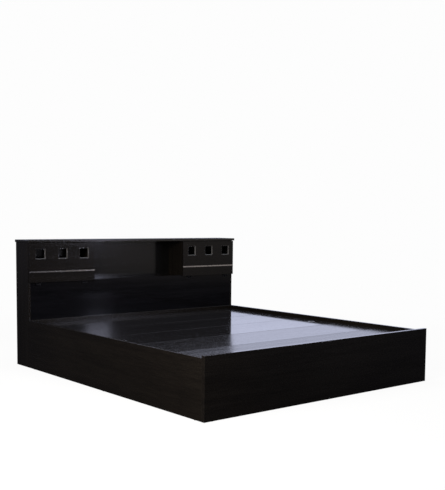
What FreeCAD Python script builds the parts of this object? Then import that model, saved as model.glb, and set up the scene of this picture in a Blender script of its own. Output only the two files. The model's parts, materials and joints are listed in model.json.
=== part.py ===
import FreeCAD, Part
import os

# King-size box bed: a low box of laminated boards with lift-off deck boards over four storage
# bays, and a deep headboard with an open niche between two cabinets closed by drop-down flaps.
# Millimetres. X runs across the bed, Y from the foot towards the headboard, Z up.
# Shapes are drawn with the outer face of the foot panel at y = 0, and save() moves them so that
# the origin is the centre of the footprint, on the floor.

# ---- Driving dimensions ----
board = 18.0                # laminated boards
foot_board = 25.0           # the thicker foot panel
edge_band = 2.0             # plastic band glued on exposed board edges
glide_height = 2.0          # plastic glides between the boards and the floor
lid_gap = 0.3               # play between a loose board and what carries it

mattress_width = 1829.0
mattress_length = 1981.0
side_play = 13.5            # from the mattress to each side rail
end_play = 4.0              # from the mattress to the foot and head ends together

rail_top = 344.0
foot_top = 358.0
deck_top = 315.0

headboard_height = 916.0
headboard_depth = 190.0     # from the headboard's front plane to its back
shelf_top = 618.0           # floor of the niche and of the cabinets
niche_half_width = 412.0
top_side_overhang = 8.0
top_front_overhang = 5.0    # past the doors' front faces
back_board = 9.0

door_inner_x = 414.0
door_outer_x = 944.0
door_bottom = 612.0
door_top_gap = 3.0
door_back_gap = 0.6
cutout = 76.0               # square openings along the top of each door, at the door's face
cutout_slope = 4.0          # their sides slope in by this much, then run straight back
cutout_pitch = 177.0
cutout_centre_z = 817.0
trim_lip = 1.0              # metal trim that lines each opening
strip_centre_z = 688.0
strip_height = 10.0
strip_groove_height = 12.5
strip_groove_depth = 3.0
strip_proud = 0.6

lid_count = 5
lid_pitch = 375.0
lid_seam = 2.0
lid_side_gap = 1.5
finger_x = 835.0
finger_hole_r = 17.5
ring_flange_r = 24.0
ring_flange_height = 1.5
ring_sleeve_depth = 17.0
ring_mouth_r = 15.5

# ---- Sizes worked out from the driving dimensions ----
inner_half_width = mattress_width / 2 + side_play
half_width = inner_half_width + board
front_plane = foot_board + mattress_length + end_play + board
box_end = front_plane - board           # inner face of the head-end panel
overall_length = front_plane + headboard_depth
back_inside = overall_length - back_board
top_underside = headboard_height - board
door_back = front_plane - door_back_gap
door_front = door_back - board
door_top = top_underside - door_top_gap
door_centre_x = (door_inner_x + door_outer_x) / 2

deck_underside = deck_top - board
support_top = deck_underside - lid_gap
deck_half_width = inner_half_width - lid_side_gap
cleat_width = 22.0
cleat_height = 40.0
cleat_bottom = support_top - cleat_height
glide_r = 7.5
glide_inset = 60.0          # from the ends of a board to its outer glides
batten_width = 30.0
batten_top = glide_height + 36.0
storage_floor = 12.0
storage_floor_top = batten_top + storage_floor
mid_length = (foot_board + box_end) / 2

# ---- Fasteners ----
screw_r = 2.0
screw_head_r = 4.0
screw_head_height = 2.4
rim_round = 1.0             # rounding of pan heads and of the finger rings
pilot_gap = 0.1             # a screw's hole is this much wider in radius
pilot_depth = 14.0
blind_gap = 1.0             # a blind hole runs this much deeper than its fastener

sides = (("left", -1), ("right", 1))
AXES = {"x": FreeCAD.Vector(1, 0, 0), "y": FreeCAD.Vector(0, 1, 0), "z": FreeCAD.Vector(0, 0, 1)}


# ---- Helpers ----
def box(x0, x1, y0, y1, z0, z1):
    """A board between two X, two Y and two Z planes, given in either order."""
    low = FreeCAD.Vector(min(x0, x1), min(y0, y1), min(z0, z1))
    return Part.makeBox(abs(x1 - x0), abs(y1 - y0), abs(z1 - z0), low)


def rod(radius, length, start, along):
    """A cylinder from start; a negative length runs against the axis."""
    direction = AXES[along] * (1 if length > 0 else -1)
    return Part.makeCylinder(radius, abs(length), FreeCAD.Vector(*start), direction)


def cone(radius_start, radius_end, length, start, along):
    """A cone frustum from start; a negative length runs against the axis."""
    direction = AXES[along] * (1 if length > 0 else -1)
    return Part.makeCone(radius_start, radius_end, abs(length), FreeCAD.Vector(*start), direction)


def shifted(point, along, distance):
    """A point moved along one axis."""
    moved = FreeCAD.Vector(*point) + AXES[along] * distance
    return (moved.x, moved.y, moved.z)


def cut_all(shape, tools):
    """A shape with every tool cut away."""
    for tool in tools:
        shape = shape.cut(tool)
    return shape


def far_rim(shape, point):
    """The round edge of a shape that lies farthest from point."""
    origin = FreeCAD.Vector(*point)
    rims = [edge for edge in shape.Edges if edge.Closed]
    return [max(rims, key=lambda edge: edge.CenterOfMass.distanceToPoint(origin))]


def pan_screw(point, along, length):
    """A screw whose round head lies on a face at point and whose shank runs into it."""
    toward = 1 if length > 0 else -1
    head = rod(screw_head_r, -toward * screw_head_height, point, along)
    head = head.makeFillet(rim_round, far_rim(head, point))
    return head.fuse(rod(screw_r, length, point, along)).removeSplitter()


def flush_screw(point, along, length, head_r=screw_head_r, shank_r=screw_r):
    """A countersunk screw whose flat head lies in a face at point."""
    toward = 1 if length > 0 else -1
    head_height = head_r - shank_r
    head = cone(head_r, shank_r, toward * head_height, point, along)
    return head.fuse(rod(shank_r, length, point, along)).removeSplitter()


def pilot(point, along, length, shank_r=screw_r):
    """The hole that a screw's shank runs in."""
    return rod(shank_r + pilot_gap, length, point, along)


def countersink(point, along, length, head_r=screw_head_r, shank_r=screw_r):
    """The hole and the conical seat of a flush screw."""
    toward = 1 if length > 0 else -1
    seat = cone(head_r + pilot_gap, shank_r + pilot_gap, toward * (head_r - shank_r), point, along)
    return pilot(point, along, length, shank_r).fuse(seat)


def save(node, *shapes):
    """Write one node, with the origin moved to the middle of the footprint."""
    shape = shapes[0] if len(shapes) == 1 else Part.makeCompound(list(shapes))
    shape = shape.copy()
    shape.translate(FreeCAD.Vector(0, -overall_length / 2, 0))
    shape.exportStep("parts/" + node + ".step")


# ---- Where the fasteners go ----
bracket_levels = (120.0, 215.0)
bracket_leg = 42.0
bracket_width = 32.0
bracket_steel = 2.5
bracket_screw_offsets = (16.0, 32.0)
corners = ((foot_board, 1), (box_end, -1))

screw_reach = pilot_depth - blind_gap    # how far a screw goes into the board behind
cleat_screw_length = cleat_width + screw_reach
side_cleat_screw_ys = [mid_length + step * 420.0 for step in (-2, -1, 0, 1, 2)]
end_cleat_screw_xs = [step * 400.0 for step in (-2, -1, 1, 2)]
cleat_screw_z = cleat_bottom + cleat_height / 2
filler_screw_y = box_end - cleat_width / 2
filler_screw_xs = (-750.0, -250.0, 250.0, 750.0)
filler_screw_reach = 11.0

bolt_xs = (-700.0, -300.0, 300.0, 700.0)
bolt_z = 160.0
bolt_r = 4.0
bolt_head_r = 9.0
bolt_head_height = 5.0
bolt_socket_r = 3.5
bolt_socket_depth = 3.0
insert_r = 6.0
insert_length = 15.0

catch_width = 40.0
catch_depth = 14.0
catch_height = 16.0
strike_thickness = 1.0
strike_top = door_top - 4.0
strike_bottom = strike_top - 11.0

hinge_xs = (door_centre_x - 190.0, door_centre_x + 190.0)
hinge_length = 50.0
hinge_steel = 1.2
hinge_reach = 3.0           # from the hinge axis to the outer face of each leaf
knuckle_r = 2.7
knuckle_gap = 0.3
middle_knuckle = 16.4
pin_r = 1.2
pin_gap = 0.05
leaf_width = 17.0
leaf_clear = 3.3            # the leaf's plate keeps this far from the other leaf's knuckle
hinge_y = front_plane - hinge_reach
hinge_z = door_bottom - hinge_reach
hinge_screw_r = 1.5
hinge_head_r = 2.7
hinge_screw_xs = (-16.0, 16.0)
hinge_screw_depth = 11.0    # from the hinge axis to the screws
hinge_screw_length = 14.0
door_leaf_width = 14.0
door_screw_y = hinge_y - 9.0    # where the hinge screws enter the door's bottom edge

back_seam_z = shelf_top - board / 2
back_lower_rows = (60.0, 240.0, 420.0)
back_upper_rows = (back_seam_z + 60.0, back_seam_z + 225.0)
back_seam_xs = (-680.0, -210.0, 210.0, 680.0)
back_hole_depth = 18.0


# ---- The box ----
def bracket_screw_points(side_sign):
    """Points and directions of the corner-bracket screws on one side of the bed."""
    points = []
    for corner_y, inward in corners:
        for level in bracket_levels:
            z = level + bracket_width / 2
            for offset in bracket_screw_offsets:
                rail_face_x = side_sign * (inner_half_width - bracket_steel)
                end_face_y = corner_y + inward * bracket_steel
                points.append(((rail_face_x, corner_y + inward * offset, z), "x", side_sign))
                points.append(((side_sign * (inner_half_width - offset), end_face_y, z), "y", -inward))
    return points


def make_side_rails():
    """Side rails between the foot panel and the headboard, with banded top edges."""
    for side, sign in sides:
        inner = sign * inner_half_width
        outer = sign * half_width
        rail = box(inner, outer, foot_board, front_plane, glide_height, rail_top - edge_band)
        pilots = [pilot((inner, y, cleat_screw_z), "x", sign * pilot_depth)
                  for y in side_cleat_screw_ys]
        pilots += [pilot(point, along, toward * pilot_depth)
                   for point, along, toward in bracket_screw_points(sign) if along == "x"]
        save("side_rail_" + side, cut_all(rail, pilots))
        band = box(inner, outer, foot_board, front_plane, rail_top - edge_band, rail_top)
        save("rail_edge_band_" + side, band)


def end_panel_pilots(corner_y, inward):
    """Pilot holes in the foot panel or the head-end panel for its brackets and its cleat."""
    pilots = [pilot((x, corner_y, cleat_screw_z), "y", -inward * pilot_depth)
              for x in end_cleat_screw_xs]
    for _, sign in sides:
        for point, along, toward in bracket_screw_points(sign):
            if along == "y" and abs(point[1] - corner_y) < foot_board and toward == -inward:
                pilots.append(pilot(point, along, toward * pilot_depth))
    return pilots


def make_foot_panel():
    """Foot panel across the rail ends, standing a little above them, banded on three edges."""
    banded_x = half_width - edge_band
    banded_top = foot_top - edge_band
    panel = box(-banded_x, banded_x, 0, foot_board, glide_height, banded_top)
    save("foot_panel", cut_all(panel, end_panel_pilots(foot_board, 1)))
    bands = [box(-half_width, half_width, 0, foot_board, banded_top, foot_top)]
    for _, sign in sides:
        bands.append(box(sign * banded_x, sign * half_width, 0, foot_board, glide_height, banded_top))
    save("foot_edge_bands", *bands)


def make_head_end_panel():
    """Panel that closes the box at the head end, bolted to the headboard."""
    panel = box(-inner_half_width, inner_half_width, box_end, front_plane,
                glide_height, rail_top - edge_band)
    bolt_holes = [rod(bolt_r + pilot_gap, board, (x, box_end, bolt_z), "y") for x in bolt_xs]
    save("head_end_panel", cut_all(panel, end_panel_pilots(box_end, -1) + bolt_holes))
    save("head_end_edge_band", box(-inner_half_width, inner_half_width, box_end, front_plane,
                                   rail_top - edge_band, rail_top))


def make_cleats():
    """Cleats screwed round the inside of the box to carry the deck."""
    screws = []
    for side, sign in sides:
        face = sign * (inner_half_width - cleat_width)
        cleat = box(face, sign * inner_half_width, foot_board + cleat_width, box_end - cleat_width,
                    cleat_bottom, support_top)
        for y in side_cleat_screw_ys:
            point = (face, y, cleat_screw_z)
            cleat = cleat.cut(countersink(point, "x", sign * cleat_width))
            screws.append(flush_screw(point, "x", sign * cleat_screw_length))
        save("side_cleat_" + side, cleat)
    for end, (corner_y, inward) in zip(("foot", "head"), corners):
        face = corner_y + inward * cleat_width
        cleat = box(-inner_half_width, inner_half_width, corner_y, face, cleat_bottom, support_top)
        for x in end_cleat_screw_xs:
            point = (x, face, cleat_screw_z)
            cleat = cleat.cut(countersink(point, "y", -inward * cleat_width))
            screws.append(flush_screw(point, "y", -inward * cleat_screw_length))
        if end == "head":
            for x in filler_screw_xs:
                cleat = cleat.cut(pilot((x, filler_screw_y, cleat_bottom), "z", cleat_height))
        save(end + "_cleat", cleat)
    save("cleat_screws", *screws)


def make_dividers():
    """Centre and cross dividers that carry the lids and part the storage bays."""
    half = board / 2
    notches = [box(-inner_half_width, inner_half_width, corner_y, corner_y + inward * cleat_width,
                   cleat_bottom, support_top) for corner_y, inward in corners]
    centre = box(-half, half, foot_board, box_end, storage_floor_top, support_top)
    save("centre_divider", cut_all(centre, notches))
    for side, sign in sides:
        divider = box(sign * half, sign * inner_half_width, mid_length - half, mid_length + half,
                      storage_floor_top, support_top)
        notch = box(sign * (inner_half_width - cleat_width), sign * inner_half_width,
                    mid_length - board, mid_length + board, cleat_bottom, support_top)
        save("cross_divider_" + side, divider.cut(notch))


def make_storage_floor():
    """Two floor boards on battens that stand on glides like the outer boards."""
    for side, sign in sides:
        save("storage_floor_" + side, box(0, sign * inner_half_width, foot_board, box_end,
                                          batten_top, storage_floor_top))
    battens = []
    for x in (-inner_half_width, -batten_width / 2, inner_half_width - batten_width):
        battens.append(box(x, x + batten_width, foot_board, box_end, glide_height, batten_top))
    for corner_y, inward in corners:
        for _, sign in sides:
            battens.append(box(sign * batten_width / 2, sign * (inner_half_width - batten_width),
                               corner_y, corner_y + inward * batten_width, glide_height, batten_top))
    save("floor_battens", *battens)


def make_glides():
    """Round plastic glides under the box and the headboard."""
    rail_x = half_width - board / 2
    near_foot = foot_board + glide_inset
    near_head = box_end - glide_inset
    near_back = back_inside - glide_inset / 4
    points = [(sign * rail_x, y) for _, sign in sides
              for y in (near_foot, mid_length, near_head, near_back)]
    points += [(x, foot_board / 2) for x in (-half_width + glide_inset, 0, half_width - glide_inset)]
    points += [(0, (mid_length + end) / 2) for end in (foot_board, box_end)]
    points += [(sign * half_width / 2, front_plane + board / 2) for _, sign in sides]
    save("floor_glides", *[rod(glide_r, glide_height, (x, y, 0), "z") for x, y in points])


# ---- The deck ----
def make_deck():
    """Five loose deck boards and one fixed strip at the head end."""
    middle = lid_count // 2
    for index in range(lid_count):
        start = foot_board + index * lid_pitch + lid_seam
        end = foot_board + (index + 1) * lid_pitch
        lid = box(-deck_half_width, deck_half_width, start, end, deck_underside, deck_top)
        if index == middle:
            centre_y = (start + end) / 2
            rings = []
            for _, sign in sides:
                lid = lid.cut(rod(finger_hole_r, board, (sign * finger_x, centre_y, deck_underside), "z"))
                rings.append(finger_ring(sign * finger_x, centre_y))
            save("finger_rings", *rings)
        save("deck_lid_%d" % (index + 1), lid)
    filler_start = foot_board + lid_count * lid_pitch + lid_seam
    filler = box(-inner_half_width, inner_half_width, filler_start, box_end, support_top, deck_top)
    screws = []
    for x in filler_screw_xs:
        filler = filler.cut(pilot((x, filler_screw_y, support_top), "z", filler_screw_reach + blind_gap))
        screws.append(pan_screw((x, filler_screw_y, cleat_bottom), "z",
                                cleat_height + filler_screw_reach))
    save("deck_filler", filler)
    save("filler_screws", *screws)


def finger_ring(x, y):
    """A flanged metal ring that lines a finger hole."""
    flange = rod(ring_flange_r, ring_flange_height, (x, y, deck_top), "z")
    flange = flange.makeFillet(rim_round, far_rim(flange, (x, y, deck_top)))
    sleeve = rod(finger_hole_r - pilot_gap, -ring_sleeve_depth, (x, y, deck_top), "z")
    return flange.fuse(sleeve).cut(rod(ring_mouth_r, 2 * board, (x, y, deck_underside), "z"))


# ---- Brackets and bolts ----
def corner_bracket(side_sign, corner_y, inward, level):
    """A steel angle between a side rail and an end panel."""
    corner_x = side_sign * inner_half_width
    rail_leg = box(corner_x, corner_x - side_sign * bracket_steel, corner_y,
                   corner_y + inward * bracket_leg, level, level + bracket_width)
    end_leg = box(corner_x, corner_x - side_sign * bracket_leg, corner_y,
                  corner_y + inward * bracket_steel, level, level + bracket_width)
    return rail_leg.fuse(end_leg).removeSplitter()


def make_brackets():
    """Steel angles in the four corners of the box, two to a corner, with their screws."""
    holes = []
    screws = []
    for _, sign in sides:
        for point, along, toward in bracket_screw_points(sign):
            holes.append(pilot(shifted(point, along, -toward), along, toward * 2 * bracket_steel))
            screws.append(pan_screw(point, along, toward * screw_reach))
    brackets = [cut_all(corner_bracket(sign, corner_y, inward, level), holes)
                for _, sign in sides for corner_y, inward in corners for level in bracket_levels]
    save("corner_brackets", *brackets)
    save("bracket_screws", *screws)


def make_bolts():
    """Bolts from inside the box through its head end into threaded inserts in the headboard."""
    bolts = []
    inserts = []
    for x in bolt_xs:
        head = rod(bolt_head_r, -bolt_head_height, (x, box_end, bolt_z), "y")
        socket = rod(bolt_socket_r, bolt_socket_depth, (x, box_end - bolt_head_height, bolt_z), "y")
        shank = rod(bolt_r, board + insert_length - blind_gap, (x, box_end, bolt_z), "y")
        bolts.append(head.cut(socket).fuse(shank).removeSplitter())
        insert = rod(insert_r, insert_length, (x, front_plane, bolt_z), "y")
        inserts.append(insert.cut(rod(bolt_r + pilot_gap, insert_length, (x, front_plane, bolt_z), "y")))
    save("headboard_bolts", *bolts)
    save("headboard_inserts", *inserts)


# ---- The headboard ----
def make_headboard_case():
    """Side panels, top, front, shelf, partitions and uprights of the headboard."""
    pockets = back_screw_pockets()
    for side, sign in sides:
        panel = box(sign * inner_half_width, sign * half_width, front_plane, back_inside,
                    glide_height, top_underside)
        save("headboard_side_" + side, cut_all(panel, pockets))
        partition = box(sign * niche_half_width, sign * (niche_half_width + board), front_plane,
                        back_inside, shelf_top, top_underside)
        save("niche_partition_" + side, cut_all(partition, pockets))
    front = box(-inner_half_width, inner_half_width, front_plane, front_plane + board,
                glide_height, shelf_top)
    insert_holes = [rod(insert_r + pilot_gap, insert_length + blind_gap, (x, front_plane, bolt_z), "y")
                    for x in bolt_xs]
    leaf_pilots = [pilot((x, front_plane, hinge_z - hinge_screw_depth), "y", hinge_screw_length,
                         hinge_screw_r) for x in all_hinge_screw_xs()]
    save("headboard_lower_front", cut_all(front, insert_holes + leaf_pilots))
    shelf = box(-inner_half_width, inner_half_width, front_plane + board, back_inside,
                shelf_top - board, shelf_top)
    save("headboard_shelf", cut_all(shelf, pockets))
    uprights = [box(x - board / 2, x + board / 2, front_plane + board, back_inside,
                    glide_height, shelf_top - board)
                for x in (-niche_half_width - board / 2, 0, niche_half_width + board / 2)]
    save("headboard_uprights", *[cut_all(upright, pockets) for upright in uprights])


def make_headboard_top():
    """Top board that overhangs the sides and the doors, banded on its front and side edges."""
    outer_x = half_width + top_side_overhang
    front_y = door_front - top_front_overhang
    top = box(-outer_x + edge_band, outer_x - edge_band, front_y + edge_band, overall_length,
              top_underside, headboard_height)
    save("headboard_top", top)
    bands = [box(-outer_x, outer_x, front_y, front_y + edge_band, top_underside, headboard_height)]
    for _, sign in sides:
        bands.append(box(sign * (outer_x - edge_band), sign * outer_x, front_y + edge_band,
                         overall_length, top_underside, headboard_height))
    save("headboard_top_edge_bands", *bands)


def back_screw_points():
    """Places (x, z) of the screws through the two back boards."""
    edge_x = half_width - board / 2
    upright_x = niche_half_width + board / 2
    points = [(x, z) for x in (-edge_x, -upright_x, 0, upright_x, edge_x)
              for z in back_lower_rows]
    points += [(x, z) for x in (-edge_x, -upright_x, upright_x, edge_x) for z in back_upper_rows]
    points += [(x, back_seam_z + offset) for x in back_seam_xs
               for offset in (-board / 4, board / 4)]
    return points


def back_screw_pockets():
    """Pilot holes for the back screws in whatever board lies in front of the back."""
    return [pilot((x, overall_length, z), "y", -back_hole_depth) for x, z in back_screw_points()]


def make_back():
    """Lower and upper back boards, meeting behind the shelf, with their screws."""
    levels = (("headboard_back_lower", glide_height, back_seam_z),
              ("headboard_back_upper", back_seam_z, top_underside))
    for node, bottom, top in levels:
        panel = box(-half_width, half_width, back_inside, overall_length, bottom, top)
        seats = [countersink((x, overall_length, z), "y", -back_board) for x, z in back_screw_points()
                 if bottom < z < top]
        save(node, cut_all(panel, seats))
    save("back_screws", *[flush_screw((x, overall_length, z), "y", blind_gap - back_hole_depth)
                          for x, z in back_screw_points()])


# ---- The drop-down doors ----
def door_sides_x(sign):
    """Inner and outer edges of one door across the bed."""
    return sign * door_inner_x, sign * door_outer_x


def square_wire(x, y, half):
    """A square in the door's plane, centred on a cut-out."""
    corners_xz = ((-half, -half), (half, -half), (half, half), (-half, half), (-half, -half))
    return Part.makePolygon([FreeCAD.Vector(x + dx, y, cutout_centre_z + dz) for dx, dz in corners_xz])


def cutout_space(x, inset):
    """The space of one cut-out: a funnel at the door's face, then a straight square passage."""
    mouth = cutout / 2 - inset
    throat = mouth - cutout_slope
    throat_y = door_front + cutout_slope
    funnel = Part.makeLoft([square_wire(x, door_front, mouth), square_wire(x, throat_y, throat)],
                           True, True)
    passage = box(x - throat, x + throat, throat_y, door_back,
                  cutout_centre_z - throat, cutout_centre_z + throat)
    return funnel.fuse(passage)


def make_doors():
    """Flap doors with three trimmed square cut-outs and a metal strip let into a groove."""
    for side, sign in sides:
        inner, outer = door_sides_x(sign)
        door = box(inner, outer, door_front, door_back, door_bottom, door_top)
        trims = []
        for step in (-1, 0, 1):
            x = sign * door_centre_x + step * cutout_pitch
            space = cutout_space(x, 0)
            door = door.cut(space)
            trims.append(space.cut(cutout_space(x, trim_lip)))
        save("cutout_trims_" + side, *trims)
        groove_z = strip_centre_z - strip_height / 2
        door = door.cut(box(inner, outer, door_front, door_front + strip_groove_depth,
                            groove_z, groove_z + strip_groove_height))
        screw_holes = [pilot((x, door_screw_y, door_bottom), "z", hinge_screw_length, hinge_screw_r)
                       for x in all_hinge_screw_xs() if x * sign > 0]
        save("flap_door_" + side, cut_all(door, screw_holes))
        save("door_strip_" + side, box(inner, outer, door_front - strip_proud,
                                       door_front + strip_groove_depth, groove_z,
                                       groove_z + strip_height))


def all_hinge_screw_xs():
    """Places across the bed of every hinge screw."""
    return [sign * x + offset for _, sign in sides for x in hinge_xs for offset in hinge_screw_xs]


def knuckle(x, start, end):
    """One barrel of a hinge leaf between two places along the pin, bored for the pin."""
    barrel = rod(knuckle_r, end - start, (x + start, hinge_y, hinge_z), "x")
    return barrel.cut(rod(pin_r + pin_gap, end - start, (x + start, hinge_y, hinge_z), "x"))


def fixed_leaf(x):
    """The leaf on the headboard's front, hanging below the pin, with two outer knuckles."""
    half = hinge_length / 2
    inner_face = hinge_y + hinge_reach - hinge_steel
    outer_face = hinge_y + hinge_reach
    leaf = box(x - half, x + half, inner_face, outer_face, hinge_z - leaf_width, hinge_z - leaf_clear)
    tab_start = middle_knuckle / 2 + knuckle_gap
    for _, sign in sides:
        leaf = leaf.fuse(box(x + sign * tab_start, x + sign * half, inner_face, outer_face,
                             hinge_z - leaf_clear, hinge_z))
        start, end = sorted((sign * tab_start, sign * half))
        leaf = leaf.fuse(knuckle(x, start, end))
    bore = rod(pin_r + pin_gap, hinge_length, (x - half, hinge_y, hinge_z), "x")
    seats = [countersink((x + offset, inner_face, hinge_z - hinge_screw_depth), "y", hinge_steel,
                         hinge_head_r, hinge_screw_r) for offset in hinge_screw_xs]
    return cut_all(leaf, [bore] + seats).removeSplitter()


def door_leaf(x):
    """The leaf under the door's bottom edge, reaching forward of the pin, with one knuckle."""
    half = hinge_length / 2
    lower_face = hinge_z + hinge_reach - hinge_steel
    upper_face = hinge_z + hinge_reach
    tab = middle_knuckle / 2
    leaf = box(x - half, x + half, hinge_y - door_leaf_width, hinge_y - leaf_clear,
               lower_face, upper_face)
    leaf = leaf.fuse(box(x - tab, x + tab, hinge_y - leaf_clear, hinge_y, lower_face, upper_face))
    leaf = leaf.fuse(knuckle(x, -tab, tab))
    bore = rod(pin_r + pin_gap, hinge_length, (x - half, hinge_y, hinge_z), "x")
    seats = [countersink((x + offset, door_screw_y, lower_face), "z", hinge_steel,
                         hinge_head_r, hinge_screw_r) for offset in hinge_screw_xs]
    return cut_all(leaf, [bore] + seats).removeSplitter()


def make_hinges():
    """Two butt hinges to a door, with their pins and screws."""
    every_x = [sign * x for _, sign in sides for x in hinge_xs]
    save("hinge_fixed_leaves", *[fixed_leaf(x) for x in every_x])
    save("hinge_pins", *[rod(pin_r, hinge_length, (x - hinge_length / 2, hinge_y, hinge_z), "x")
                         for x in every_x])
    fixed_face_y = hinge_y + hinge_reach - hinge_steel
    door_face_z = hinge_z + hinge_reach - hinge_steel
    save("hinge_fixed_screws", *[flush_screw((x, fixed_face_y, hinge_z - hinge_screw_depth), "y",
                                             hinge_screw_length, hinge_head_r, hinge_screw_r)
                                 for x in all_hinge_screw_xs()])
    for side, sign in sides:
        save("hinge_door_leaves_" + side, *[door_leaf(x) for x in every_x if x * sign > 0])
        save("hinge_door_screws_" + side, *[flush_screw((x, door_screw_y, door_face_z), "z",
                                                        hinge_screw_length, hinge_head_r, hinge_screw_r)
                                            for x in all_hinge_screw_xs() if x * sign > 0])


def make_catches():
    """Magnetic catches under the headboard's top and their strike plates on the doors."""
    catches = []
    strike_face = door_back + strike_thickness
    for side, sign in sides:
        x0 = sign * door_centre_x - catch_width / 2
        x1 = sign * door_centre_x + catch_width / 2
        save("strike_plate_" + side, box(x0, x1, door_back, strike_face, strike_bottom, strike_top))
        catches.append(box(x0, x1, strike_face + lid_gap, strike_face + lid_gap + catch_depth,
                           top_underside - catch_height, top_underside))
    save("magnet_catches", *catches)


os.makedirs("parts", exist_ok=True)
make_side_rails()
make_foot_panel()
make_head_end_panel()
make_cleats()
make_dividers()
make_storage_floor()
make_glides()
make_deck()
make_brackets()
make_bolts()
make_headboard_case()
make_headboard_top()
make_back()
make_doors()
make_hinges()
make_catches()
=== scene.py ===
"""Looks of the box bed: bevelled boards with woodgrain laminate, a glossy deck, and a pale studio.

Metres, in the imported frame: X across the bed, Y from the foot to the headboard, Z up.
"""
import json
import math
import bpy
import bmesh
from mathutils import Matrix, Vector


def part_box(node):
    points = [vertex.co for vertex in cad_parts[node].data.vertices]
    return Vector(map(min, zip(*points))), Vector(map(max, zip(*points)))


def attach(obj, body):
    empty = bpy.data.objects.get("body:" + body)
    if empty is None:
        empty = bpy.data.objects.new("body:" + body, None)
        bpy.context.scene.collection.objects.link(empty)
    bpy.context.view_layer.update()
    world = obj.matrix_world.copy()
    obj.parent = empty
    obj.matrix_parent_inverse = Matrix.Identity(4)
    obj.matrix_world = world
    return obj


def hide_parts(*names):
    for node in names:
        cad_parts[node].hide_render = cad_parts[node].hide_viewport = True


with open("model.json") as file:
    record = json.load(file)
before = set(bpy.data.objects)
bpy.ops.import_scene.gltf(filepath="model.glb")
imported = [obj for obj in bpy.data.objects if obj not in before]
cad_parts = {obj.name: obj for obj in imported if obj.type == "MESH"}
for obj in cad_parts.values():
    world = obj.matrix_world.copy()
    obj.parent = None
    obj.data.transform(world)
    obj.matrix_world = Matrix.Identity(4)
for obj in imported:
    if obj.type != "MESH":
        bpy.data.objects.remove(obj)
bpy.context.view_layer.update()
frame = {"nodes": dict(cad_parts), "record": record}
NODES = frame["nodes"]
BODY_OF_NODE = {node: body for body, members in frame["record"]["behaviour"]["bodies"].items()
                for node in members}
SLOT_OF_NODE = {part["node"]: part["material_slot"] for part in frame["record"]["subparts"]}
MM = 0.001


# ---- Node helpers ----
def new_material(name):
    """An empty node material and its tree, with the shader and the output in place."""
    material = bpy.data.materials.new(name)
    material.use_nodes = True
    tree = material.node_tree
    tree.nodes.clear()
    shader = tree.nodes.new("ShaderNodeBsdfPrincipled")
    output = tree.nodes.new("ShaderNodeOutputMaterial")
    tree.links.new(shader.outputs["BSDF"], output.inputs["Surface"])
    return material, tree, shader


def add_node(tree, kind, inputs=None, **properties):
    """A shader node with its properties set and its inputs set or linked."""
    node = tree.nodes.new(kind)
    for key, value in properties.items():
        setattr(node, key, value)
    for key, value in (inputs or {}).items():
        if isinstance(value, bpy.types.NodeSocket):
            tree.links.new(value, node.inputs[key])
        else:
            node.inputs[key].default_value = value
    return node


def object_point(tree, scale=(1.0, 1.0, 1.0)):
    """The object's own coordinates, scaled on each axis."""
    point = add_node(tree, "ShaderNodeTexCoord").outputs["Object"]
    return add_node(tree, "ShaderNodeMapping", {"Vector": point, "Scale": scale}).outputs["Vector"]


def noise(tree, point, scale, detail=4.0, roughness=0.5, distortion=0.0):
    """A noise value from 0 to 1 at a point."""
    node = add_node(tree, "ShaderNodeTexNoise",
                    {"Vector": point, "Scale": scale, "Detail": detail, "Roughness": roughness,
                     "Distortion": distortion})
    return node.outputs["Fac"]


def spread(tree, value, source, target=(0.0, 1.0)):
    """A value mapped smoothly from one range to another, and held at its ends."""
    node = add_node(tree, "ShaderNodeMapRange",
                    {"Value": value, "From Min": source[0], "From Max": source[1],
                     "To Min": target[0], "To Max": target[1]}, interpolation_type="SMOOTHSTEP")
    return node.outputs["Result"]


def maths(tree, operation, first, second):
    """One arithmetic step between two values."""
    return add_node(tree, "ShaderNodeMath", {0: first, 1: second}, operation=operation).outputs[0]


def mix_colour(tree, factor, first, second):
    """Two colours mixed by a factor, which gives the share of the second."""
    node = add_node(tree, "ShaderNodeMix", data_type="RGBA")
    for socket, value in ((node.inputs[0], factor), (node.inputs[6], first), (node.inputs[7], second)):
        if isinstance(value, bpy.types.NodeSocket):
            tree.links.new(value, socket)
        else:
            socket.default_value = (*value, 1.0)
    return node.outputs[2]


def scale_colour(tree, colour, factor):
    """A colour made darker or lighter by a factor that changes over the surface."""
    return add_node(tree, "ShaderNodeVectorMath", {0: colour, "Scale": factor},
                    operation="SCALE").outputs[0]


def times(colour, factor):
    """A fixed colour or range with each of its numbers multiplied by a factor."""
    return tuple(factor * value for value in colour)


def set_bump(tree, shader, height, distance, strength=1.0):
    """Give a shader a bump of a given depth."""
    bump = add_node(tree, "ShaderNodeBump", {"Height": height, "Distance": distance,
                                             "Strength": strength})
    tree.links.new(bump.outputs["Normal"], shader.inputs["Normal"])


# ---- Laminate ----
NOISE_RANGE = (0.3, 0.7)            # where nearly all values of a noise lie
GRAIN_STRETCH = 0.045               # how much slower the grain changes along a board than across it
FIGURE_SCALE = 26.0                 # features to a metre, across the grain
LINE_SCALE = 230.0
PORE_SCALE = 900.0
CLOUD_SCALE = 1.6
RUB_SCALE = 38.0
TONE_RANGE = (0.38, 0.64)           # mean of figure and fine lines, from all dark to all light
CLOUD_BRIGHTNESS = (0.82, 1.12)     # broad changes of brightness from place to place
PORE_RANGE = (0.60, 0.70)           # noise from no pore to a whole pore
PORE_SHARE = 0.35                   # how far a pore goes towards its own colour
PORE_SHADE = 0.35                   # that colour, as a share of the print's dark tone
PORE_ROUGHNESS = 0.12               # how much rougher a pore is
RUB_RANGE = (0.45, 0.72)            # noise from an untouched arris to a rubbed one
RUB_SHARE = 0.22                    # how far a rubbed arris goes towards its own colour
RUB_SHADE = 3.0                     # that colour, as a multiple of the print's light tone
ROUGHNESS_SPREAD = (0.92, 1.09)
LINE_HEIGHT = 0.35                  # height of the fine lines, as a share of a pore's depth
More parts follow.
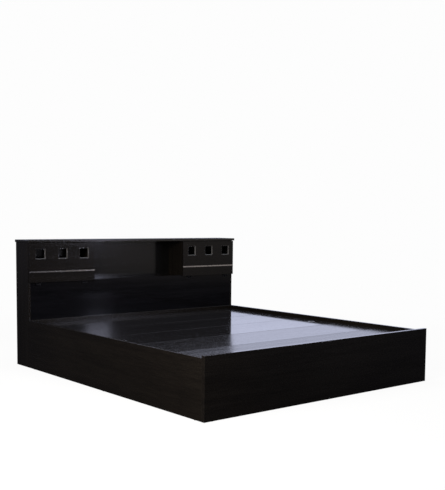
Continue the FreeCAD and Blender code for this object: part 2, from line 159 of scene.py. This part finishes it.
LAMINATE_IOR = 1.5


def grain_scale(along):
    """Mapping scale that draws a pattern out along one axis, or along none."""
    return tuple(GRAIN_STRETCH if axis == along else 1.0 for axis in "xyz")


def worn_arris(tree):
    """Where a rounded arris has lost its print, from 0 to 1."""
    arris = add_node(tree, "ShaderNodeAttribute", attribute_name="arris").outputs["Fac"]
    rub = spread(tree, noise(tree, object_point(tree), RUB_SCALE, detail=5.0), RUB_RANGE)
    return maths(tree, "MULTIPLY", arris, rub)


def woodgrain(name, along, dark, light, roughness, bump=0.04 * MM, specular=0.5):
    """Printed wenge laminate: figure, fine pores and worn arrises, with grain along one axis."""
    material, tree, shader = new_material(name)
    point = object_point(tree, grain_scale(along))
    figure = noise(tree, point, FIGURE_SCALE, detail=6.0, roughness=0.62, distortion=0.6)
    lines = noise(tree, point, LINE_SCALE, detail=3.0, roughness=0.7)
    pore = spread(tree, noise(tree, point, PORE_SCALE, detail=1.0), PORE_RANGE)
    cloud = noise(tree, object_point(tree), CLOUD_SCALE, detail=2.0)

    mean = maths(tree, "MULTIPLY", maths(tree, "ADD", figure, lines), 0.5)
    colour = mix_colour(tree, spread(tree, mean, TONE_RANGE), dark, light)
    colour = scale_colour(tree, colour, spread(tree, cloud, NOISE_RANGE, CLOUD_BRIGHTNESS))
    colour = mix_colour(tree, maths(tree, "MULTIPLY", pore, PORE_SHARE), colour,
                        times(dark, PORE_SHADE))
    colour = mix_colour(tree, maths(tree, "MULTIPLY", worn_arris(tree), RUB_SHARE), colour,
                        times(light, RUB_SHADE))
    tree.links.new(colour, shader.inputs["Base Color"])

    rough = maths(tree, "ADD", spread(tree, figure, NOISE_RANGE, times(ROUGHNESS_SPREAD, roughness)),
                  maths(tree, "MULTIPLY", pore, PORE_ROUGHNESS))
    tree.links.new(rough, shader.inputs["Roughness"])
    shader.inputs["IOR"].default_value = LAMINATE_IOR
    shader.inputs["Specular IOR Level"].default_value = specular
    height = maths(tree, "SUBTRACT", maths(tree, "MULTIPLY", lines, LINE_HEIGHT), pore)
    set_bump(tree, shader, height, bump)
    return material


# ---- Plastic and metal ----
TOOLING_SCALE = 900.0               # features to a metre: the texture of a mould
SMEAR_SCALE = 14.0
SMEAR_SHADE = 1.35
SMEAR_ROUGHNESS = (0.85, 1.2)
BRUSH_SCALE = 700.0
BRUSH_ROUGHNESS = (0.8, 1.15)
STAIN_SCALE = 45.0
STAIN_RANGE = (0.35, 0.75)
STAIN_SHADE = 0.72
STAIN_DULL_RANGE = (0.5, 0.8)       # only the stronger stains are dull as well as dark
STAIN_DULLNESS = (0.0, 0.12)
FINE_BUMP = 0.03 * MM


def plastic(name, colour, roughness):
    """Moulded plastic with a fine tooled texture and an uneven gloss."""
    material, tree, shader = new_material(name)
    point = object_point(tree)
    tooling = noise(tree, point, TOOLING_SCALE, detail=2.0)
    smear = noise(tree, point, SMEAR_SCALE, detail=3.0)
    tinted = mix_colour(tree, spread(tree, smear, NOISE_RANGE), colour, times(colour, SMEAR_SHADE))
    rough = spread(tree, smear, NOISE_RANGE, times(SMEAR_ROUGHNESS, roughness))
    tree.links.new(tinted, shader.inputs["Base Color"])
    tree.links.new(rough, shader.inputs["Roughness"])
    set_bump(tree, shader, tooling, FINE_BUMP, strength=0.6)
    return material


def metal(name, colour, roughness, brushed=None):
    """Metal with slight tarnish, brushed along one axis where one is given."""
    material, tree, shader = new_material(name)
    brush = noise(tree, object_point(tree, grain_scale(brushed)), BRUSH_SCALE, detail=3.0,
                  roughness=0.65)
    stain = noise(tree, object_point(tree), STAIN_SCALE, detail=4.0)
    tinted = mix_colour(tree, spread(tree, stain, STAIN_RANGE), colour, times(colour, STAIN_SHADE))
    rough = maths(tree, "ADD", spread(tree, brush, NOISE_RANGE, times(BRUSH_ROUGHNESS, roughness)),
                  spread(tree, stain, STAIN_DULL_RANGE, STAIN_DULLNESS))
    shader.inputs["Metallic"].default_value = 1.0
    tree.links.new(tinted, shader.inputs["Base Color"])
    tree.links.new(rough, shader.inputs["Roughness"])
    set_bump(tree, shader, brush, FINE_BUMP, strength=0.5)
    return material


# ---- The materials of this bed ----
WENGE = {"dark": (0.0046, 0.0036, 0.0027), "light": (0.0076, 0.0060, 0.0045)}
PLAIN_BOARD = {**WENGE, "roughness": 0.24}
POLISHED_BOARD = {**WENGE, "roughness": 0.09, "bump": 0.001 * MM}
EDGE_BAND = {**WENGE, "roughness": 0.15, "bump": 0.002 * MM, "specular": 0.9}
DOOR = {"dark": (0.0030, 0.0025, 0.0022), "light": (0.0062, 0.0051, 0.0045), "roughness": 0.15,
        "bump": 0.010 * MM, "specular": 0.42}
# The lower front of the headboard: a glossier laminate whose print is darker and bluer than the
# boards', as painted shade and a painted bluish reflection.
SHADED_GLOSS_FRONT = {"dark": (0.0020, 0.0020, 0.0027), "light": (0.0042, 0.0041, 0.0055),
               "roughness": 0.08, "bump": 0.004 * MM, "specular": 0.3}
# The back board, which lines the niche: its print is darker and greyer than the wenge, as painted
# shade.
SHADED_BACK = {"dark": (0.0022, 0.0021, 0.0021), "light": (0.0050, 0.0047, 0.0047), "roughness": 0.15,
        "bump": 0.004 * MM, "specular": 0.65}
DECK = {"dark": (0.0078, 0.0075, 0.0084), "light": (0.0130, 0.0126, 0.0140), "bump": 0.0015 * MM}
DECK_ROUGHNESS = {"deck_lid_1": 0.22, "deck_lid_2": 0.15, "deck_lid_3": 0.10, "deck_lid_4": 0.09,
                  "deck_lid_5": 0.09, "deck_filler": 0.09}
CARCASS = {"dark": (0.030, 0.019, 0.013), "light": (0.060, 0.040, 0.028), "roughness": 0.45}
TIMBER = {"dark": (0.20, 0.11, 0.05), "light": (0.42, 0.27, 0.15), "roughness": 0.60,
          "bump": 0.15 * MM}
METALS = {"zinc_steel": {"name": "zinc_plate", "colour": (0.50, 0.50, 0.47), "roughness": 0.34},
          "ring_metal": {"name": "satin_nickel", "colour": (0.62, 0.61, 0.58), "roughness": 0.22},
          "strip_metal": {"name": "brushed_strip", "colour": (0.76, 0.73, 0.70), "roughness": 0.14,
                          "brushed": "x"},
          "trim_metal": {"name": "cutout_trim", "colour": (0.40, 0.39, 0.375), "roughness": 0.24},
          "black_steel": {"name": "black_steel", "colour": (0.045, 0.043, 0.042), "roughness": 0.5}}
BLACK_PLASTIC = {"name": "black_plastic", "colour": (0.010, 0.010, 0.010), "roughness": 0.45}


def make_materials():
    """Every material, by record slot, with the grain's axis or the node where a slot has several."""
    made = {}
    for along in "xyz":
        made["wenge_laminate", along] = woodgrain("wenge_" + along, along, **PLAIN_BOARD)
        made["edge_band", along] = woodgrain("edge_band_" + along, along, **EDGE_BAND)
        made["carcass_board", along] = woodgrain("carcass_" + along, along, **CARCASS)
        made["cleat_timber", along] = woodgrain("timber_" + along, along, **TIMBER)
    for node in ("headboard_top", "headboard_shelf"):
        made["wenge_laminate", node] = woodgrain("wenge_" + node, "x", **POLISHED_BOARD)
    for node, roughness in DECK_ROUGHNESS.items():
        made["deck_laminate", node] = woodgrain("wenge_" + node, "x", roughness=roughness, **DECK)
    made["door_laminate", "x"] = woodgrain("door_wenge", "x", **DOOR)
    # the lower front's glossy laminate, with painted shade and a painted bluish reflection in its
    # print
    made["gloss_laminate", "x"] = woodgrain("shaded_gloss_wenge", "x", **SHADED_GLOSS_FRONT)
    # the back board's laminate, with painted shade in its print
    made["back_laminate", "x"] = woodgrain("shaded_back_wenge", "x", **SHADED_BACK)
    for slot, look in METALS.items():
        made[slot, None] = metal(**look)
    made["black_plastic", None] = plastic(**BLACK_PLASTIC)
    return made


MATERIALS = make_materials()


def material_for(node, along=None):
    """The material of a node's slot: the node's own, the one with its grain, or the general one."""
    slot = SLOT_OF_NODE[node]
    for key in ((slot, node), (slot, along), (slot, "x"), (slot, None)):
        if key in MATERIALS:
            return MATERIALS[key]


def paint(piece, material):
    """Give a piece one material in all its slots."""
    if not piece.material_slots:
        piece.data.materials.append(material)
    for holder in piece.material_slots:
        holder.material = material


# ---- Boards ----
PLAIN_BEVEL = 0.6 * MM
SOFT_BEVEL = 1.5 * MM
BAND_BEVEL = 1.9 * MM               # just under the thickness of an edge band
BEVEL_SEGMENTS = 3
BEVEL_PROFILE = 0.5                 # round
ARRIS_LENGTH = 12 * MM              # shorter edges stay sharp
ARRIS_ANGLE = math.radians(35)      # flatter edges stay as they are
SHARP_ANGLE = math.radians(32)      # edges that shade as a corner
FLAT_ANGLE = math.radians(0.5)      # faces this close to one plane are joined
WELD_DISTANCE = 0.002 * MM
ON_PLANE = 0.02 * MM
FACE_WEIGHT = 100                   # large faces outweigh small ones in the shading normals

# Boards with the edge bands that carry their arrises, and the axis of their grain.
BANDED = {("side_rail_left", "rail_edge_band_left"): "y",
          ("side_rail_right", "rail_edge_band_right"): "y",
          ("foot_panel", "foot_edge_bands"): "x",
          ("head_end_panel", "head_end_edge_band"): "x",
          ("headboard_top", "headboard_top_edge_bands"): "x"}
# Boards without edge bands, and the axis of their grain.
SINGLE = {"headboard_side_left": "z", "headboard_side_right": "z", "headboard_lower_front": "x",
          "headboard_shelf": "x", "niche_partition_left": "z", "niche_partition_right": "z",
          "headboard_uprights": "z", "deck_filler": "x", "centre_divider": "y",
          "cross_divider_left": "x", "cross_divider_right": "x", "storage_floor_left": "y",
          "storage_floor_right": "y", "side_cleat_left": "y", "side_cleat_right": "y",
          "foot_cleat": "x", "head_cleat": "x", "flap_door_left": "x", "flap_door_right": "x",
          **{node: "x" for node in sorted(NODES) if node.startswith("deck_lid_")}}
SOFT_EDGED = {"headboard_shelf", "headboard_lower_front", *DECK_ROUGHNESS}


def union_box(nodes):
    """Lowest and highest corners of several nodes together."""
    boxes = [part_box(node) for node in nodes]
    low = Vector([min(box[0][axis] for box in boxes) for axis in range(3)])
    high = Vector([max(box[1][axis] for box in boxes) for axis in range(3)])
    return low, high


def planes_touched(point, box):
    """Which of the six faces of a box a point lies on."""
    return {(axis, side) for axis in range(3) for side in range(2)
            if abs(point[axis] - box[side][axis]) < ON_PLANE}


def separate_solids(mesh):
    """Part welded solids that touch along an edge, so that each one is closed by itself."""
    found = set()
    solids = []
    for seed in mesh.faces:
        if seed in found:
            continue
        found.add(seed)
        solid = [seed]
        for face in solid:          # the list grows until the solid is whole
            for edge in face.edges:
                if len(edge.link_faces) == 2:
                    fresh = [other for other in edge.link_faces if other not in found]
                    found.update(fresh)
                    solid.extend(fresh)
        solids.append(solid)
    for solid in solids[1:]:
        bmesh.ops.split(mesh, geom=solid)
    bmesh.ops.recalc_face_normals(mesh, faces=mesh.faces)


def arris_edges(mesh, outer):
    """The long convex edges of a board, or only those on the edges of an outer box."""
    chosen = []
    for edge in mesh.edges:
        if not edge.is_manifold or not edge.is_convex or edge.calc_length() < ARRIS_LENGTH:
            continue
        if edge.calc_face_angle() < ARRIS_ANGLE:
            continue
        if outer:
            first, second = (planes_touched(vertex.co, outer) for vertex in edge.verts)
            if len(first & second) < 2:
                continue
        chosen.append(edge)
    return chosen


def rounded_mesh(node, radius, outer):
    """A CAD board's mesh with its faces joined, and its arrises rounded and marked."""
    mesh = bmesh.new()
    mesh.from_mesh(NODES[node].data)
    bmesh.ops.remove_doubles(mesh, verts=mesh.verts, dist=WELD_DISTANCE)
    separate_solids(mesh)
    bmesh.ops.dissolve_limit(mesh, angle_limit=FLAT_ANGLE, verts=mesh.verts, edges=mesh.edges,
                             use_dissolve_boundaries=False, delimit=set())
    mesh.normal_update()
    arris = mesh.faces.layers.float.new("arris")
    rounded = bmesh.ops.bevel(mesh, geom=arris_edges(mesh, outer), offset=radius,
                              offset_type="OFFSET", segments=BEVEL_SEGMENTS, profile=BEVEL_PROFILE,
                              affect="EDGES", clamp_overlap=True, material=-1)
    for face in rounded["faces"]:
        face[arris] = 1.0
    mesh.normal_update()
    for face in mesh.faces:
        face.smooth = True
    for edge in mesh.edges:
        if edge.is_manifold and edge.calc_face_angle() > SHARP_ANGLE:
            edge.smooth = False
    data = bpy.data.meshes.new(node + "_board")
    mesh.to_mesh(data)
    mesh.free()
    return data


def bevelled(node, radius, outer=None):
    """A rounded board that stands for a CAD node and rides on its body."""
    piece = bpy.data.objects.new(node + "_board", rounded_mesh(node, radius, outer))
    bpy.context.scene.collection.objects.link(piece)
    weighted = piece.modifiers.new("flat_faces", "WEIGHTED_NORMAL")
    weighted.keep_sharp = True
    weighted.weight = FACE_WEIGHT
    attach(piece, BODY_OF_NODE[node])
    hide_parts(node)
    return piece


def make_boards():
    """Every laminated board as a bevelled piece with its grain along its length."""
    for nodes, along in BANDED.items():
        for node in nodes:
            paint(bevelled(node, BAND_BEVEL, union_box(nodes)), material_for(node, along))
    for node, along in SINGLE.items():
        radius = SOFT_BEVEL if node in SOFT_EDGED else PLAIN_BEVEL
        paint(bevelled(node, radius), material_for(node, along))


def paint_remaining():
    """Materials for the CAD nodes that are shown as they are."""
    for node, piece in NODES.items():
        if not piece.hide_render:
            paint(piece, material_for(node))


# ---- Floor ----
SURROUND = (0.982, 0.982, 0.982)    # the white that the camera sees all round
FLOOR_RADIUS = 40.0
FLOOR_SEGMENTS = 96
FLOOR_GREY = (0.9, 0.9, 0.9)
FLOOR_SHADE = 0.06                  # share of the floor's look that takes shadow, near the bed
FLOOR_FADE = (2.0, 4.5)             # distances from the bed's middle over which that share goes


def make_floor():
    """A wide pale floor that fades into the white surround."""
    data = bpy.data.meshes.new("studio_floor")
    mesh = bmesh.new()
    bmesh.ops.create_circle(mesh, cap_ends=True, segments=FLOOR_SEGMENTS, radius=FLOOR_RADIUS)
    mesh.to_mesh(data)
    mesh.free()
    floor = bpy.data.objects.new("studio_floor", data)
    bpy.context.scene.collection.objects.link(floor)
    material = bpy.data.materials.new("pale_floor")
    material.use_nodes = True
    tree = material.node_tree
    tree.nodes.clear()
    output = add_node(tree, "ShaderNodeOutputMaterial")
    glow = add_node(tree, "ShaderNodeEmission", {"Color": (*SURROUND, 1.0), "Strength": 1.0})
    matt = add_node(tree, "ShaderNodeBsdfDiffuse", {"Color": (*FLOOR_GREY, 1.0)})
    point = add_node(tree, "ShaderNodeTexCoord").outputs["Object"]
    distance = add_node(tree, "ShaderNodeVectorMath", {0: point}, operation="LENGTH").outputs["Value"]
    share = spread(tree, distance, FLOOR_FADE, (FLOOR_SHADE, 0.0))
    mixed = add_node(tree, "ShaderNodeMixShader", {0: share, 1: glow.outputs[0], 2: matt.outputs[0]})
    tree.links.new(mixed.outputs[0], output.inputs["Surface"])
    floor.data.materials.append(material)
    floor.visible_glossy = False
    floor.visible_diffuse = False


# ---- World ----
# "towards" is a direction, "cosines" are those of the angle to it and "rise" is the height of a
# view direction, each from none of the colour to all of it.
BACKDROP = (1.09, 1.15, 1.48)       # the pale wall behind the bed, as the boards mirror it
BACKDROP_TOWARDS = (0.6, 0.8, 0.0)
BACKDROP_COSINES = (0.55, 0.85)
BACKDROP_RISE = (0.068, 0.128)
ROOM = (0.060, 0.062, 0.080)        # the dim room all round
ROOM_RISE = (-0.10, -0.03)
ROOM_BELOW = 0.35                   # share of the room's light below the horizon
FRONT_GLOW = (0.300, 0.275, 0.265)  # the room at the front right, near the horizon
FRONT_TOWARDS = (0.643, -0.766, 0.0)
FRONT_COSINES = (0.962, 0.994)
FRONT_RISE = (-0.084, -0.056)
FRONT_FALL = (0.0, 0.05)            # heights over which the glow goes again
LEFT_GLOW = (0.30, 0.285, 0.28)     # the lit room at the front left
LEFT_TOWARDS = (-0.77, -0.63, 0.0)
LEFT_COSINES = (0.90, 0.97)
CEILING = (0.42, 0.44, 0.49)
CEILING_RISE = (0.35, 0.8)
FILL = (0.30, 0.30, 0.32)           # the even light that matt surfaces get from all round


def facing(tree, direction, towards, cosines):
    """How far a direction points towards another, from 0 to 1 over a range of cosines."""
    cosine = add_node(tree, "ShaderNodeVectorMath", {0: direction, 1: towards},
                      operation="DOT_PRODUCT").outputs["Value"]
    return spread(tree, cosine, cosines)


def mirrored_room(tree, direction):
    """What the glossy boards mirror: a dim room, two glows, a pale ceiling and a bright backdrop."""
    height = add_node(tree, "ShaderNodeSeparateXYZ", {0: direction}).outputs["Z"]
    front_band = maths(tree, "MULTIPLY", spread(tree, height, FRONT_RISE),
                       spread(tree, height, FRONT_FALL, (1.0, 0.0)))
    front = maths(tree, "MULTIPLY", facing(tree, direction, FRONT_TOWARDS, FRONT_COSINES), front_band)
    left = facing(tree, direction, LEFT_TOWARDS, LEFT_COSINES)
    ceiling = spread(tree, height, CEILING_RISE)
    backdrop = maths(tree, "MULTIPLY", facing(tree, direction, BACKDROP_TOWARDS, BACKDROP_COSINES),
                     spread(tree, height, BACKDROP_RISE))
    mirrored = scale_colour(tree, ROOM, spread(tree, height, ROOM_RISE, (ROOM_BELOW, 1.0)))
    for share, colour in ((front, FRONT_GLOW), (left, LEFT_GLOW), (ceiling, CEILING),
                          (backdrop, BACKDROP)):
        mirrored = mix_colour(tree, share, mirrored, colour)
    return mirrored


def make_world():
    """White to the camera, an even fill to matt surfaces and a room to glossy ones."""
    world = bpy.data.worlds.new("studio_world")
    bpy.context.scene.world = world
    world.use_nodes = True
    tree = world.node_tree
    tree.nodes.clear()
    output = add_node(tree, "ShaderNodeOutputWorld")
    rays = add_node(tree, "ShaderNodeLightPath")
    direction = add_node(tree, "ShaderNodeTexCoord").outputs["Generated"]
    lit = mix_colour(tree, rays.outputs["Is Glossy Ray"], FILL, mirrored_room(tree, direction))
    seen = mix_colour(tree, rays.outputs["Is Camera Ray"], lit, SURROUND)
    background = add_node(tree, "ShaderNodeBackground", {"Color": seen, "Strength": 1.0})
    tree.links.new(background.outputs[0], output.inputs["Surface"])


# ---- Lights ----
WHITE = (1.0, 1.0, 1.0)
LIGHTS = {
    "key": {"place": (-2.8, -1.6, 1.6), "target": (-0.95, -1.0, 0.2), "size": (1.0, 1.0),
            "power": 125.0, "colour": (1.0, 0.95, 0.87), "glossy": False},
    "overhead": {"place": (0.0, 0.0, 5.0), "target": (0.0, 0.0, 0.0), "size": (4.0, 4.0),
                 "power": 200.0, "colour": WHITE, "glossy": False},
    "cool_softbox": {"place": (1.97, -3.0, 1.50), "target": (-0.4, 0.9, 0.4), "size": (0.30, 1.1),
                     "power": 12.0, "colour": (0.76, 0.78, 1.0), "diffuse": False}}


def area_light(name, place, target, size, power, colour, glossy=True, diffuse=True):
    """A rectangular area light that faces a target point and isn't seen by the camera."""
    data = bpy.data.lights.new(name, "AREA")
    data.shape = "RECTANGLE"
    data.size, data.size_y = size
    data.energy = power
    data.color = colour
    light = bpy.data.objects.new(name, data)
    bpy.context.scene.collection.objects.link(light)
    light.location = place
    light.rotation_euler = (Vector(target) - Vector(place)).to_track_quat("-Z", "Y").to_euler()
    light.visible_camera = False
    light.visible_glossy = glossy
    light.visible_diffuse = diffuse


def make_lights():
    """A soft key from the left, a soft overhead fill, and a narrow cool softbox at the front right."""
    for name, light in LIGHTS.items():
        area_light(name, **light)


# ---- Camera ----
CAMERA_PLACE = Vector((-3.564, -4.4235, 1.062))
CAMERA_YAW = math.radians(39.40)    # clockwise from +Y
CAMERA_PITCH = math.radians(4.645)  # downwards
CAMERA_ROLL = math.radians(0.484)
CAMERA_LENS = 60.0
CAMERA_SHIFT = (0.0041, 0.0864)
CAMERA_CLIP = (0.05, 200.0)


def make_camera():
    """The viewing angle: from the front left, a little above the headboard's top."""
    forward = Vector((math.sin(CAMERA_YAW) * math.cos(CAMERA_PITCH),
                      math.cos(CAMERA_YAW) * math.cos(CAMERA_PITCH),
                      -math.sin(CAMERA_PITCH)))
    level_right = Vector((math.cos(CAMERA_YAW), -math.sin(CAMERA_YAW), 0.0))
    level_up = level_right.cross(forward)
    right = level_right * math.cos(CAMERA_ROLL) + level_up * math.sin(CAMERA_ROLL)
    up = level_up * math.cos(CAMERA_ROLL) - level_right * math.sin(CAMERA_ROLL)
    data = bpy.data.cameras.new("view")
    data.lens = CAMERA_LENS
    data.shift_x, data.shift_y = CAMERA_SHIFT
    data.clip_start, data.clip_end = CAMERA_CLIP
    camera = bpy.data.objects.new("view", data)
    bpy.context.scene.collection.objects.link(camera)
    turned = Matrix((right, up, -forward)).transposed().to_4x4()
    camera.matrix_world = Matrix.Translation(CAMERA_PLACE) @ turned
    bpy.context.scene.camera = camera


make_camera()
make_boards()
paint_remaining()
make_floor()
make_world()
make_lights()
bpy.context.scene.view_settings.view_transform = "Standard"
